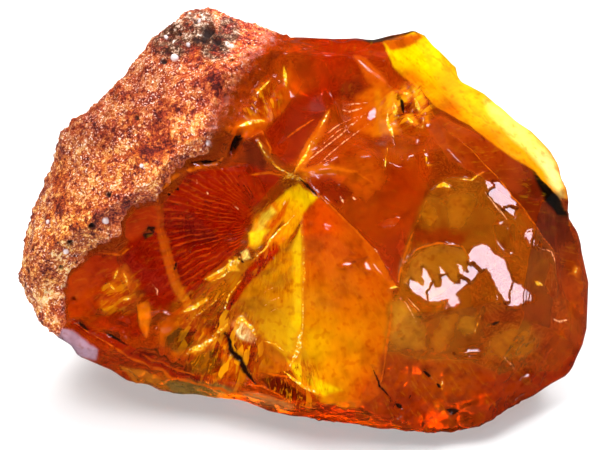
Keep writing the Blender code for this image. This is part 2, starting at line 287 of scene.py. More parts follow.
# The faces of the broken front, later ones over earlier ones: the outline of each (in pixels), its colour
# at one or more places on it, how see-through it is, and how soft its edge is (in pixels). Their colours
# carry painted light: the glow of light coming through the amber, glints, and shade on some darker faces.
FACES = [
    # the upper bowl, between the crust and the bevel
    ([(250, 30), (380, 30), (398, 72), (440, 120), (425, 190), (398, 285), (300, 178), (225, 165)],
     [((300, 66), (178, 62, 6)), ((335, 52), (196, 46, 2)), ((295, 98), (200, 76, 4)),
      ((330, 78), (170, 44, 3)), ((350, 130), (208, 76, 3)), ((352, 152), (202, 66, 2)),
      ((395, 150), (208, 82, 3)), ((398, 180), (194, 54, 1)), ((385, 215), (200, 66, 2)),
      ((362, 205), (190, 68, 5)), ((400, 250), (165, 48, 10))], 0.65, 5),
    ([(268, 150), (266, 122), (290, 100), (338, 76), (352, 84), (330, 106), (306, 140), (290, 168)],
     [((282, 126), (135, 26, 2)), ((320, 98), (172, 38, 2)), ((290, 150), (172, 40, 2))], 0.7, 5),
    ([(353, 55), (366, 58), (386, 80), (384, 90), (368, 84)], [((368, 68), (226, 94, 8))], 0.4, 2),
    ([(342, 82), (360, 76), (366, 90), (352, 102), (340, 96)], [((350, 89), (100, 26, 4))], 0.45, 5),
    ([(358, 96), (376, 84), (396, 92), (404, 112), (398, 134), (374, 136), (350, 128)],
     [((378, 100), (236, 108, 5)), ((392, 124), (246, 138, 5)), ((362, 116), (214, 82, 4))], 0.45, 4),
    ([(396, 84), (416, 80), (434, 108), (424, 132), (404, 120)], [((412, 104), (206, 82, 5))], 0.6, 4),
    ([(396, 94), (401, 94), (403, 116), (397, 120)], [((399, 106), (104, 30, 3))], 0.35, 1.5),
    # small flakes inside the amber, painted with the yellow glints of light that they catch
    ([(386, 98), (392, 92), (396, 104), (396, 122), (391, 136), (387, 116)],
     [((391, 112), (255, 168, 10))], 0.3, 1.5),
    ([(398, 90), (405, 86), (411, 96), (405, 103), (400, 100)], [((404, 95), (250, 150, 10))], 0.35, 1.5),
    ([(412, 87), (420, 92), (427, 108), (422, 113), (415, 102)], [((419, 102), (255, 180, 14))], 0.3, 1.5),
    ([(404, 112), (412, 114), (419, 126), (409, 124)], [((411, 119), (248, 150, 12))], 0.35, 1.5),
    ([(424, 104), (430, 112), (429, 128), (424, 122)], [((427, 116), (240, 132, 8))], 0.4, 1.5),
    ([(374, 92), (380, 90), (382, 112), (377, 120)], [((378, 104), (246, 138, 8))], 0.4, 2),
    ([(336, 160), (366, 156), (388, 178), (366, 200), (350, 190), (318, 176)],
     [((360, 172), (216, 88, 6)), ((338, 168), (202, 74, 5))], 0.55, 6),
    ([(302, 180), (330, 176), (352, 190), (340, 206), (322, 198)], [((330, 187), (120, 28, 3))], 0.5, 4),
    ([(228, 128), (262, 108), (282, 84), (290, 60), (300, 84), (286, 106), (266, 128), (240, 140)],
     [((262, 118), (222, 90, 4)), ((284, 84), (212, 80, 4))], 0.5, 4),
    ([(240, 140), (262, 134), (270, 158), (262, 176), (246, 172)], [((256, 152), (95, 26, 4))], 0.5, 4),
    ([(296, 172), (301, 152), (313, 132), (328, 109), (330, 114), (323, 134), (313, 154), (302, 172)],
     [((306, 152), (228, 112, 6)), ((322, 122), (204, 82, 5))], 0.45, 1.2),
    ([(300, 170), (322, 164), (346, 166), (368, 176), (366, 184), (344, 176), (320, 174), (302, 178)],
     [((320, 169), (224, 104, 6)), ((350, 172), (212, 88, 5))], 0.5, 2),
    # the dark ribbed bowl
    ([(186, 172), (246, 164), (284, 176), (258, 206), (232, 262), (196, 290), (160, 312), (140, 300),
      (120, 262), (128, 238), (158, 212)],
     [((205, 190), (166, 28, 1)), ((222, 220), (112, 6, 0)), ((196, 240), (104, 5, 0)),
      ((148, 262), (122, 14, 1)), ((170, 292), (130, 18, 1)), ((250, 182), (160, 32, 2)),
      ((222, 262), (150, 26, 1))], 0.55, 3),
    ([(126, 222), (137, 209), (157, 205), (158, 226), (134, 240), (124, 236)],
     [((142, 220), (176, 48, 3))], 0.5, 3),
    ([(143, 234), (148, 226), (157, 226), (154, 235), (146, 240)], [((150, 232), (30, 8, 4))], 0.2, 1.5),
    ([(70, 276), (92, 254), (120, 252), (122, 276), (104, 298), (96, 316), (70, 318), (65, 293)],
     [((82, 292), (192, 62, 3)), ((106, 262), (160, 40, 2)), ((88, 310), (180, 52, 2))], 0.5, 3),
    ([(108, 282), (124, 266), (136, 282), (138, 300), (126, 308), (108, 316), (96, 302)],
     [((118, 280), (228, 112, 8)), ((108, 300), (212, 84, 5)), ((130, 300), (184, 62, 4))], 0.5, 4),
    ([(96, 316), (128, 306), (146, 318), (146, 340), (124, 338), (90, 324)],
     [((120, 322), (168, 46, 3)), ((140, 330), (126, 24, 1))], 0.6, 4),
    ([(137, 304), (148, 302), (151, 316), (146, 338), (140, 326)], [((145, 316), (238, 118, 3))], 0.35, 2),
    # the crumpled yellow breaks below it, with their dark places; the bright yellow in them is a painted glow
    # of the light coming through, and the small pale patches are painted glints
    ([(158, 322), (190, 300), (226, 268), (250, 256), (290, 236), (303, 330), (296, 372), (262, 376),
      (240, 384), (190, 372), (160, 345)],
     [((185, 318), (212, 92, 5)), ((250, 280), (224, 136, 6)), ((230, 345), (208, 96, 5)),
      ((275, 355), (220, 124, 6)), ((250, 370), (156, 56, 4)), ((180, 362), (196, 84, 5))], 0.55, 4),
    ([(192, 300), (226, 274), (232, 292), (222, 328), (206, 322)],
     [((212, 302), (232, 124, 5))], 0.65, 2.5),
    ([(164, 338), (178, 326), (194, 332), (193, 346), (176, 352), (166, 348)],
     [((180, 340), (96, 50, 3))], 0.6, 2),
    ([(184, 366), (200, 352), (222, 346), (226, 360), (212, 374), (190, 372)],
     [((206, 362), (108, 68, 4))], 0.6, 2),
    ([(234, 318), (250, 290), (282, 262), (303, 224), (304, 300), (300, 340), (286, 356), (262, 336),
      (250, 322)],
     [((252, 300), (196, 122, 6)), ((270, 290), (212, 134, 5)), ((292, 262), (246, 154, 4)),
      ((285, 330), (252, 186, 5)), ((296, 300), (252, 176, 4))], 0.45, 3),
    ([(248, 246), (256, 214), (276, 200), (288, 212), (270, 240), (254, 250)],
     [((262, 222), (252, 156, 4)), ((252, 240), (255, 186, 6)), ((268, 208), (240, 120, 4))], 0.4, 2.5),
    ([(276, 200), (298, 182), (318, 198), (308, 212), (288, 240), (276, 250), (262, 252), (284, 226)],
     [((306, 196), (255, 210, 2)), ((294, 218), (255, 172, 4)), ((274, 246), (246, 138, 5))], 0.35, 2),
    ([(262, 214), (272, 206), (276, 212), (268, 222), (262, 234), (256, 238)],
     [((266, 222), (255, 226, 60))], 0.3, 2),
    ([(284, 204), (290, 198), (284, 214), (274, 228), (268, 240), (262, 244), (270, 226)],
     [((276, 222), (214, 84, 3))], 0.4, 1.5),
    ([(225, 306), (240, 278), (258, 254), (276, 242), (280, 250), (262, 272), (244, 290), (230, 312)],
     [((264, 256), (180, 36, 1)), ((236, 292), (166, 34, 1))], 0.6, 1.5),
    ([(232, 322), (238, 316), (246, 320), (256, 336), (252, 344), (240, 336)],
     [((244, 328), (255, 250, 176))], 0.12, 2),
    ([(222, 344), (238, 346), (242, 374), (226, 374)], [((232, 360), (220, 104, 6))], 0.5, 6),
    ([(222, 332), (230, 332), (240, 350), (254, 376), (246, 374), (234, 356)],
     [((236, 350), (84, 24, 4))], 0.5, 1.5),
    ([(183, 312), (207, 297), (209, 300), (188, 312)], [((196, 305), (255, 214, 16))], 0.25, 1),
    ([(190, 351), (200, 344), (215, 333), (220, 339), (206, 348), (195, 355)],
     [((206, 344), (252, 176, 8))], 0.3, 1.5),
    ([(240, 252), (248, 249), (251, 257), (244, 259)], [((246, 254), (255, 240, 120))], 0.2, 1),
    ([(226, 266), (237, 264), (240, 271), (230, 271)], [((233, 268), (255, 226, 40))], 0.25, 1),
    ([(233, 257), (242, 258), (240, 264), (235, 263)], [((238, 260), (252, 196, 16))], 0.3, 1),
    ([(249, 234), (271, 230), (262, 243), (252, 246)], [((260, 238), (255, 222, 16))], 0.25, 2),
    ([(206, 278), (224, 268), (226, 271), (212, 282)], [((216, 275), (250, 180, 10))], 0.3, 1),
    ([(292, 244), (303, 226), (304, 330), (297, 358), (286, 352), (294, 300)],
     [((298, 300), (255, 204, 10))], 0.35, 3),
    ([(157, 204), (163, 203), (163, 225), (171, 253), (181, 283), (208, 334), (201, 337), (172, 286),
      (162, 256), (156, 226)],
     [((160, 215), (190, 66, 6)), ((168, 255), (200, 84, 8)), ((190, 312), (222, 118, 12))], 0.5, 1.2),
    ([(258, 378), (276, 376), (300, 390), (316, 402), (292, 400), (268, 390)],
     [((284, 388), (62, 10, 1))], 0.4, 2),
    # the smooth middle face, red at the top and yellow below, the yellow a painted glow of light coming
    # through
    ([(303, 214), (318, 198), (352, 228), (374, 250), (395, 285), (390, 330), (378, 396), (350, 412),
      (320, 402), (292, 366), (303, 330)],
     [((322, 222), (228, 76, 2)), ((352, 250), (214, 88, 6)), ((376, 284), (212, 94, 4)),
      ((318, 262), (234, 106, 2)), ((345, 300), (230, 118, 3)), ((314, 310), (250, 150, 3)),
      ((312, 348), (255, 192, 3)), ((348, 350), (240, 146, 4)), ((376, 350), (214, 104, 4)),
      ((330, 380), (250, 160, 4)), ((366, 390), (186, 76, 4))], 0.45, 2),
    ([(286, 358), (300, 364), (318, 380), (342, 390), (322, 396), (300, 386)],
     [((312, 380), (255, 220, 4))], 0.3, 2),
    # the olive right face, its pale clouds, the lens-shaped scoop and the darker places between, painted
    # shade
    ([(400, 288), (400, 258), (416, 219), (431, 188), (445, 178), (485, 178), (518, 207), (538, 231),
      (554, 256), (562, 296), (580, 318), (580, 360), (556, 380), (500, 376), (450, 368), (384, 358),
      (388, 308)],
     [((440, 200), (166, 88, 12)), ((500, 215), (164, 84, 10)), ((530, 260), (148, 70, 8)),
      ((480, 290), (146, 70, 7)), ((420, 300), (180, 96, 12)), ((505, 325), (150, 70, 7)),
      ((550, 310), (158, 66, 7)), ((560, 345), (164, 64, 6)), ((420, 355), (186, 96, 12))], 0.65, 3),
    ([(410, 252), (414, 226), (440, 224), (470, 230), (462, 244), (430, 246)],
     [((436, 236), (130, 42, 3))], 0.6, 5),
    ([(444, 204), (452, 194), (472, 196), (478, 208), (466, 228), (450, 226)],
     [((460, 210), (186, 104, 14))], 0.55, 7),
    ([(420, 214), (428, 200), (434, 210), (430, 226), (422, 226)], [((427, 214), (190, 106, 12))], 0.55, 6),
    ([(404, 282), (412, 258), (440, 244), (466, 250), (470, 268), (452, 288), (430, 300)],
     [((440, 262), (184, 106, 16)), ((420, 284), (200, 124, 30))], 0.55, 2.5),
    ([(392, 306), (404, 300), (420, 318), (424, 348), (400, 350), (388, 334)],
     [((406, 328), (206, 132, 28))], 0.5, 7),
    ([(430, 346), (440, 320), (456, 314), (454, 338), (440, 352)], [((444, 334), (180, 102, 14))], 0.5, 6),
    ([(458, 330), (462, 316), (476, 318), (476, 332), (464, 336)], [((467, 325), (192, 118, 20))], 0.55, 3),
    ([(486, 352), (492, 336), (514, 326), (540, 338), (530, 352), (506, 358)],
     [((510, 344), (186, 106, 16))], 0.55, 8),
    ([(480, 318), (500, 308), (540, 302), (560, 312), (530, 322), (500, 328)],
     [((520, 314), (138, 54, 4))], 0.6, 5),
    # the rough lower right corner and the lip
    ([(378, 352), (420, 362), (470, 362), (500, 374), (556, 372), (586, 336), (592, 380), (500, 440),
      (330, 436), (352, 410), (378, 396)],
     [((400, 372), (152, 58, 5)), ((450, 378), (150, 62, 5)), ((500, 390), (140, 44, 3)),
      ((550, 372), (132, 34, 2)), ((410, 408), (118, 36, 3)), ((460, 412), (104, 36, 4)),
      ((510, 412), (112, 30, 3))], 0.4, 4),
    ([(66, 318), (110, 342), (180, 376), (250, 392), (320, 406), (356, 410), (356, 436), (250, 430),
      (100, 385)],
     [((90, 340), (150, 44, 3)), ((135, 362), (168, 52, 4)), ((180, 384), (184, 92, 10)),
      ((300, 408), (112, 38, 4)), ((340, 414), (142, 40, 3))], 0.6, 2),
    ([(72, 318), (120, 340), (180, 368), (236, 382), (250, 392), (180, 378), (108, 346), (70, 326)],
     [((110, 342), (124, 24, 2)), ((180, 372), (150, 34, 3)), ((230, 386), (170, 60, 8))], 0.5, 1.5),
    ([(120, 364), (150, 370), (168, 380), (170, 392), (140, 388)], [((148, 378), (196, 112, 22))], 0.5, 2),
    # the underside of the lip, painted with a reflection of the white table below it
    ([(162, 380), (186, 378), (216, 382), (236, 388), (220, 400), (176, 396)],
     [((200, 388), (104, 84, 36))], 0.4, 2),
    ([(240, 392), (262, 394), (296, 404), (286, 412), (256, 404)], [((268, 400), (160, 104, 52))], 0.4, 2),
    # a pale lilac facet at the end of the lip, a painted reflection
    ([(56, 326), (72, 330), (98, 350), (96, 360), (76, 356), (58, 344)],
     [((78, 344), (168, 138, 158))], 0.3, 1.5),
    # the dark band under the bevel, painted shade, and the bevel, painted with the yellow glow of light
    # coming through it that shades to orange at its lower edge, with its white streak, a painted highlight
    ([(426, 126), (440, 116), (470, 130), (490, 140), (518, 158), (538, 172), (562, 200), (582, 258),
      (592, 320), (566, 300), (554, 256), (538, 231), (518, 205), (485, 180), (450, 160)],
     [((448, 136), (146, 54, 6)), ((480, 150), (130, 42, 3)), ((510, 182), (108, 34, 3)),
      ((534, 190), (72, 18, 2)), ((548, 206), (92, 26, 3)), ((562, 225), (78, 22, 3)),
      ((574, 262), (120, 42, 4)), ((584, 300), (156, 58, 6))], 0.3, 2),
    ([(532, 171), (548, 184), (562, 200), (568, 218), (558, 216), (546, 202)],
     [((550, 192), (10, 5, 2))], 0.03, 2.5),
    # a dark facet along the top edge, painted shade
    ([(361, 41), (383, 33), (412, 28), (420, 34), (397, 41), (370, 44)],
     [((392, 36), (60, 30, 8))], 0.08, 1.5),
    ([(383, 43), (418, 32), (428, 30), (470, 76), (522, 112), (556, 140), (568, 165), (567, 200),
      (552, 190), (534, 171), (499, 148), (470, 126), (440, 110), (412, 84), (394, 68)],
     [((404, 56), (255, 212, 0)), ((430, 60), (255, 222, 0)), ((410, 80), (214, 112, 3)),
      ((440, 92), (246, 158, 2)), ((450, 110), (204, 100, 3)), ((470, 96), (255, 200, 4)),
      ((490, 138), (226, 128, 4)), ((500, 112), (255, 222, 24)), ((540, 174), (236, 150, 8)),
      ((556, 190), (226, 140, 8))], 0.3, 1.5),
    ([(484, 100), (500, 110), (526, 128), (548, 150), (560, 176), (562, 196), (552, 186), (544, 170),
      (524, 148), (502, 126), (488, 112)],
     [((520, 138), (255, 240, 104)), ((552, 174), (255, 244, 140))], 0.25, 4),
    ([(383, 42), (400, 36), (420, 34), (424, 38), (410, 46), (390, 50)],
     [((402, 42), (190, 84, 4))], 0.35, 2),
]
PLAIN_HUE, PLAIN_CLEAR = (182, 70, 6), 0.8
# The crust's own broad colours, against plain grains
CRUST_HUES = [
    ((205, 85), (220, 132, 50)), ((150, 90), (196, 116, 48)), ((255, 70), (246, 140, 43)),
    ((120, 165), (244, 198, 101)), ((190, 125), (255, 190, 76)), ((80, 225), (255, 240, 163)),
    ((50, 280), (255, 238, 184)), ((75, 310), (245, 195, 120)), ((235, 110), (255, 160, 52)),
    ((165, 195), (255, 206, 103)), ((240, 40), (255, 148, 38)), ((272, 44), (255, 136, 30)),
    ((90, 130), (176, 100, 46)), ((130, 225), (240, 150, 60)), ((60, 180), (232, 186, 117)),
    ((110, 195), (235, 180, 95)),
]
# The dirty places of the crust, where pale and dark grains lie thick, and its single pale grains and pits
DIRTY = [((172, 40), 20), ((198, 26), 18), ((215, 46), 16), ((228, 30), 12)]
PALE_GRAINS = [
    ((174, 57), 4.0), ((187, 43), 2.2), ((166, 37), 1.9), ((209, 144), 3.0), ((272, 40), 2.6),
    ((232, 45), 2.2), ((106, 222), 3.4), ((46, 221), 2.4), ((199, 21), 2.2), ((142, 166), 2.4),
    ((66, 252), 3.0),
]
# The pits are sunk into the crust and painted dark, a painted shade in each
PITS = [
    ((163, 61), 3.4), ((93, 228), 4.2), ((70, 244), 3.6), ((107, 194), 3.4), ((138, 119), 2.4),
    ((204, 38), 3.0), ((212, 28), 4.0), ((196, 20), 3.0), ((178, 33), 2.4), ((61, 268), 2.6),
    ((74, 300), 2.8), ((207, 31), 7.0), ((218, 40), 4.0),
]
# The brow of the crust, below which it stands thick
LEDGE = [(62, 134), (80, 124), (115, 122), (145, 110), (190, 84), (230, 66), (262, 52)]
# The sides and back, which the camera doesn't see
SIDE_HUE, SIDE_CLEAR = (188, 84, 8), 0.85
CRUST_SIDE_HUE = (238, 194, 138)

# Lines on the front, in four kinds: where light gathers and where it glows through a flake, both painted
# light; scratches and fine hackle lines, painted pale with the light they catch; and dark cracks. Each has
# the points it runs through and its half width, in pixels, and how far it stands up, in millimetres.
BRIGHT_LINES = [
    ([(294, 174), (304, 158), (312, 142)], 1.3, 0.3), ([(312, 142), (322, 124), (330, 110)], 0.7, 0.3),
    ([(293, 176), (276, 166), (264, 152), (257, 140)], 1.0, 0.2),
    ([(284, 178), (293, 175), (304, 180)], 2.0, 0.1), ([(303, 224), (304, 275), (303, 325)], 0.8, 0.15),
    ([(303, 325), (298, 350), (290, 366)], 1.6, 0.15), ([(238, 127), (252, 122), (264, 122)], 1.8, 0.3),
    ([(252, 97), (262, 88), (270, 80)], 0.8, 0.25), ([(283, 66), (284, 76), (286, 88)], 1.6, 0.25),
    ([(205, 279), (224, 268), (246, 253)], 1.1, 0.3), ([(209, 282), (222, 276), (238, 264)], 0.7, 0.1),
    ([(228, 269), (234, 266), (240, 260)], 2.4, 0.1), ([(229, 260), (236, 264)], 1.4, 0.1),
    ([(184, 311), (196, 305), (208, 299)], 1.8, 0.3), ([(190, 318), (206, 308), (226, 292)], 0.6, 0.1),
    ([(184, 354), (200, 346), (216, 336)], 2.0, 0.25), ([(210, 336), (222, 328), (232, 320)], 1.0, 0.1),
    ([(222, 314), (230, 294), (246, 274)], 0.6, 0.1),
    ([(250, 262), (264, 250), (284, 226), (296, 214)], 0.8, 0.1),
    ([(246, 320), (252, 326), (258, 336)], 1.6, 0.2), ([(236, 322), (240, 318), (246, 320)], 1.8, 0.2),
    ([(284, 372), (300, 384), (322, 396)], 1.2, 0.1), ([(262, 340), (276, 344), (286, 352)], 0.6, 0.1),
    ([(110, 282), (116, 290)], 1.1, 0.1), ([(118, 268), (114, 278)], 1.0, 0.1),
    ([(124, 272), (130, 284)], 0.7, 0.1), ([(122, 299), (134, 297)], 0.8, 0.1),
    ([(394, 104), (395, 116)], 2.2, 0.3), ([(387, 114), (389, 126), (393, 138)], 1.7, 0.3),
    ([(399, 93), (408, 94)], 1.3, 0.3), ([(414, 99), (420, 112)], 1.6, 0.3),
    ([(407, 118), (413, 125)], 1.3, 0.3), ([(412, 126), (422, 130), (424, 118)], 0.6, 0.2),
    ([(388, 148), (384, 170)], 0.6, 0.1), ([(424, 150), (428, 166), (434, 164)], 0.6, 0.1),
    ([(436, 187), (443, 184), (450, 187)], 1.8, 0.2), ([(452, 178), (470, 180), (482, 173)], 0.7, 0.2),
    ([(535, 281), (541, 285)], 1.8, 0.2), ([(574, 268), (577, 276)], 2.0, 0.3),
    ([(442, 379), (442, 390)], 0.6, 0.2), ([(390, 288), (400, 287)], 0.7, 0.1),
    ([(482, 310), (478, 324), (473, 339)], 0.45, 0.1),
]
WARM_LINES = [
    ([(302, 178), (320, 196), (374, 250), (394, 284)], 0.8, 0.25),
    ([(395, 285), (388, 340), (378, 395)], 0.8, 0.2),
    ([(300, 172), (330, 168), (356, 172), (372, 182)], 1.2, 0.2),
    ([(280, 142), (304, 126), (314, 120)], 0.8, 0.1),
    ([(161, 202), (159, 225), (167, 253), (177, 283), (203, 336)], 0.5, 0.3),
    ([(244, 176), (268, 172), (290, 176)], 0.8, 0.1),
    ([(156, 205), (160, 190), (176, 176), (190, 170), (216, 164), (228, 152)], 1.2, 0.2),
    ([(100, 252), (122, 254), (134, 244)], 0.6, 0.2),
    ([(246, 140), (262, 132), (270, 150), (266, 168)], 0.7, 0.15),
    ([(70, 320), (110, 345), (180, 378), (250, 394), (320, 408)], 0.7, 0.3),
    ([(120, 345), (170, 366), (222, 380)], 0.5, 0.15), ([(356, 60), (372, 74), (390, 88)], 0.7, 0.2),
    ([(404, 262), (416, 250), (438, 243), (462, 246), (472, 262)], 0.7, 0.15),
    ([(230, 384), (262, 386), (296, 404)], 0.6, 0.2),
    ([(440, 126), (470, 150), (520, 205), (552, 250), (556, 290)], 0.5, 0.2),
    ([(488, 342), (520, 376)], 0.35, 0.1), ([(420, 215), (404, 256), (398, 286)], 0.8, 0.2),
    ([(260, 372), (300, 380)], 0.7, 0.1),
]
PALE_LINES = [
    ([(302, 166), (334, 140), (368, 112)], 0.47, 0.03), ([(317, 166), (344, 142), (371, 122)], 0.42, 0.03),
    ([(339, 106), (354, 104), (368, 103)], 0.42, 0.03), ([(314, 141), (340, 124), (366, 113)], 0.34, 0.03),
    ([(308, 158), (336, 132), (362, 118)], 0.3, 0.03), ([(322, 164), (330, 160), (340, 156)], 0.3, 0.03),
    ([(341, 110), (350, 112), (364, 108)], 0.59, 0.03), ([(262, 296), (268, 290), (276, 286)], 0.3, 0.03),
    ([(264, 306), (272, 300), (280, 297)], 0.3, 0.03), ([(268, 314), (276, 308), (284, 306)], 0.3, 0.03),
    ([(484, 190), (494, 204), (502, 216)], 0.34, 0.03), ([(490, 198), (504, 216), (512, 228)], 0.3, 0.03),
    ([(404, 300), (410, 310), (416, 322)], 0.34, 0.03), ([(408, 297), (414, 305), (420, 312)], 0.3, 0.03),
    ([(500, 352), (510, 364), (520, 376)], 0.34, 0.03), ([(206, 190), (210, 196)], 0.51, 0.03),
    ([(232, 204), (240, 212)], 0.42, 0.03), ([(196, 178), (198, 186)], 0.42, 0.03),
    ([(152, 284), (158, 290), (156, 300)], 0.42, 0.03), ([(283, 205), (286, 200)], 0.51, 0.03),
    ([(246, 330), (242, 338)], 0.42, 0.03), ([(252, 332), (248, 342)], 0.42, 0.03),
    ([(258, 336), (254, 346)], 0.34, 0.03), ([(372, 246), (380, 256)], 0.59, 0.03),
    ([(352, 196), (356, 200)], 0.68, 0.03), ([(340, 196), (344, 202)], 0.68, 0.03),
    ([(550, 318), (560, 322), (572, 318)], 0.59, 0.03), ([(536, 246), (550, 252), (554, 264)], 0.42, 0.03),
]
DARK_LINES = [
    ([(193, 165), (205, 163), (218, 162)], 1.6, -0.6), ([(231, 154), (236, 144), (242, 133)], 3.6, -1.6),
    ([(224, 334), (230, 341), (232, 352), (241, 359), (245, 371), (256, 384)], 2.3, -0.4),
    ([(372, 368), (380, 386), (394, 402)], 0.9, -0.3), ([(448, 410), (458, 412)], 2.4, -0.4),
    ([(398, 404), (402, 408)], 1.6, -0.3), ([(437, 384), (441, 388)], 1.2, -0.3),
    ([(424, 372), (432, 378)], 1.2, -0.3), ([(168, 193), (171, 196)], 1.4, -0.2),
    ([(176, 190), (180, 188)], 1.2, -0.2), ([(176, 262), (174, 270)], 1.0, -0.2),
    ([(78, 322), (88, 330)], 1.4, -0.3), ([(104, 332), (128, 346)], 1.0, -0.3),
    ([(300, 178), (312, 190), (318, 196)], 1.2, -0.2), ([(492, 326), (500, 322)], 1.4, -0.1),
    ([(453, 352), (456, 356)], 1.0, -0.1), ([(400, 98), (404, 112)], 1.4, -0.2),
    ([(236, 256), (246, 262)], 0.8, -0.1), ([(236, 296), (228, 310)], 0.8, -0.1),
]
STEP_RUN, STEP_BROW, CRACK_SIDE = 11, 2, 1.6
TINT_LIFTED, TINT_LEAST = 0.8, 0.05
FAR_OFF = 20
COLOUR_SPREAD, COLOUR_FALL = 25, 1.5


def linear(colour):
    """A colour given as it looks on screen, from 0 to 255, as the shader wants it."""
    share = np.array(colour, float) / 255
    return np.where(share <= 0.04045, share / 12.92, ((share + 0.055) / 1.055) ** 2.4)


def within(spots, outline):
    """How far inside an outline spots are, in pixels, and below 0 outside it."""
    distance = along_line(spots, outline + outline[:1])[0]
    inside = np.zeros(len(spots), bool)
    for (ax, ay), (bx, by) in zip(outline, outline[1:] + outline[:1]):
        if ay != by:
            crosses = (spots[:, 1] < ay) != (spots[:, 1] < by)
            inside ^= crosses & (spots[:, 0] < ax + (spots[:, 1] - ay) * (bx - ax) / (by - ay))
    return np.where(inside, distance, -distance)


def colour_over(spots, places):
    """The colour of each spot, from the places whose colour is named, the nearest counting most."""
    total = np.zeros(len(spots))
    colours = np.zeros((len(spots), 3))
    for place, colour in places:
        weight = 1 / (((spots - np.array(place)) ** 2).sum(axis=1) + COLOUR_SPREAD) ** COLOUR_FALL
        total += weight
        colours += weight[:, None] * linear(colour)
    return colours / total[:, None]


def nearest_line(spots, lines):
    """How far spots are from the nearest of these lines, in that line's half widths there."""
    field = np.full(len(spots), float(FAR_OFF))
    for line, half_width, height in lines:
        distance, side, progress = along_line(spots[front], line)
        taper = 0.3 + 0.9 * np.sin(np.pi * np.clip(progress, 0.04, 0.96))
        field[front] = np.minimum(field[front], distance / (half_width * taper))
    return field


tint = np.tile(linear(PLAIN_HUE), (len(spots), 1))
clear = np.full(len(spots), PLAIN_CLEAR)
front = np.flatnonzero(facing > 0)
for outline, places, see_through, soft in FACES:
    wander = soft * 0.8 * broad_wander[front] + 0.6 * fine_wander[front]
    cover = smooth_step(-soft, soft, within(spots[front] + wander, outline))
    covered, cover = front[cover > 0], cover[cover > 0]
    tint[covered] += cover[:, None] * (colour_over(spots[covered], places) - tint[covered])
    clear[covered] += cover * (see_through - clear[covered])
crust_tint = colour_over(drifted, CRUST_HUES)
lift = np.zeros(len(points))
for line, half_width, height in BRIGHT_LINES + WARM_LINES + PALE_LINES + DARK_LINES:
    distance, side, progress = along_line(marked[front], line)
    if height > 0:
        # A raised line is the brow of a step: sheer on one side, with a slow run on the other
        run = smooth_step(STEP_RUN, 0, distance)
        lift[front] += height * np.where(side > 0, run, smooth_step(STEP_BROW, 0, distance))
    else:
        lift[front] += height * smooth_step(half_width + CRACK_SIDE, 0.0, distance)
# The see-through places are given a lighter tint, because the depth of the amber darkens them
tint /= np.maximum(tint.max(axis=1), TINT_LEAST)[:, None] ** (TINT_LIFTED * clear)[:, None]
side_tint = linear(SIDE_HUE) / linear(SIDE_HUE).max() ** (TINT_LIFTED * SIDE_CLEAR)
tint = tint * facing[:, None] + side_tint * (1 - facing[:, None])
crust_tint = crust_tint * facing[:, None] + linear(CRUST_SIDE_HUE) * (1 - facing[:, None])
clear = clear * facing + SIDE_CLEAR * (1 - facing)

# The relief of the skin, in millimetres: grains and pits on the crust, and on the breaks the fine lines
# that a blow leaves, which run out from where it struck like the ribs of a shell. Noise is given by the
# size of its lumps, a number that sets its pattern, and its height.
STAR = (293, 175)
HACKLE_TURNS, HACKLE_HEIGHT = 26, 0.1
RIB_MIDDLE, RIB_TURN, RIB_HEIGHT = (272, 224), 0.075, 0.09
ROUGH_CORNER = [((430, 405), 60), ((520, 385), 45), ((340, 412), 30)]
CRUMPLED = [
    ((225, 350), 45), ((120, 310), 35), ((408, 108), 24), ((262, 100), 22), ((270, 255), 30),
    ((150, 350), 40),
]
CRUMPLE_FOLD, CRUMPLE_FINE = (2.6, 5.2, 0.45), [(0.8, 3.9, 0.12)]
CORNER_LUMPS = [(1.6, 2.2, 0.35), (0.7, 9.2, 0.15)]
BOWL_RIPPLES = [(7.0, 1.2, 0.16), (2.5, 1.7, 0.05)]
CRUST_GRAINS = (1.0, 3.3, 0.4)
CRUST_LUMPS = [(2.4, 4.1, 0.35), (0.7, 6.6, 0.2), (6.0, 9.1, 0.4)]
CRUST_SUNK = 0.3
LEDGE_HEIGHT, LEDGE_RUN = 0.9, 34
PALE_GRAIN_HEIGHT, PIT_DEPTH = 0.45, 0.8
FLAT_LEVEL = 0.05 * MM
SHARD_TURNS, SHARD_RUNS, SHARD_START = 11, 3.2, 20


def around(spots, middle):
    """How far spots are from a middle, in pixels, and the turn towards them."""
    gap = spots - np.array(middle, float)
    return np.hypot(gap[:, 0], gap[:, 1]), np.arctan2(gap[:, 1], gap[:, 0])


def patch(spots, places):
    """How much soft round places cover each spot."""
    share = np.zeros(len(spots))
    for middle, reach in places:
        share = np.maximum(share, smooth_step(reach * 1.25, reach * 0.75, around(spots, middle)[0]))
    return share


def lumps(layers):
    """Layers of noise over the skin, one on another."""
    return sum(height * noise_over(points, size, seed) for size, seed, height in layers)


# Where the breaks are splintered into shards, and how much
SHARDS = [
    ((220, 345), 44, 0.9), ((275, 268), 34, 0.3), ((278, 222), 30, 0.25), ((408, 108), 24, 0.8),
    ((262, 104), 20, 0.6), ((293, 178), 14, 0.7), ((300, 384), 26, 0.8), ((200, 310), 26, 0.8),
    ((118, 292), 22, 0.6),
]
broken = (1 - crust) * facing
distance, turn = around(spots + 1.5 * broad_wander, STAR)
shard_place = np.stack([
    np.cos(turn) * SHARD_TURNS, np.sin(turn) * SHARD_TURNS, np.log(distance + SHARD_START) * SHARD_RUNS,
], axis=1)
shards = np.zeros(len(points))
for middle, reach, share in SHARDS:
    shards = np.maximum(shards, share * smooth_step(reach * 1.3, reach * 0.6, around(drifted, middle)[0]))
shards *= broken

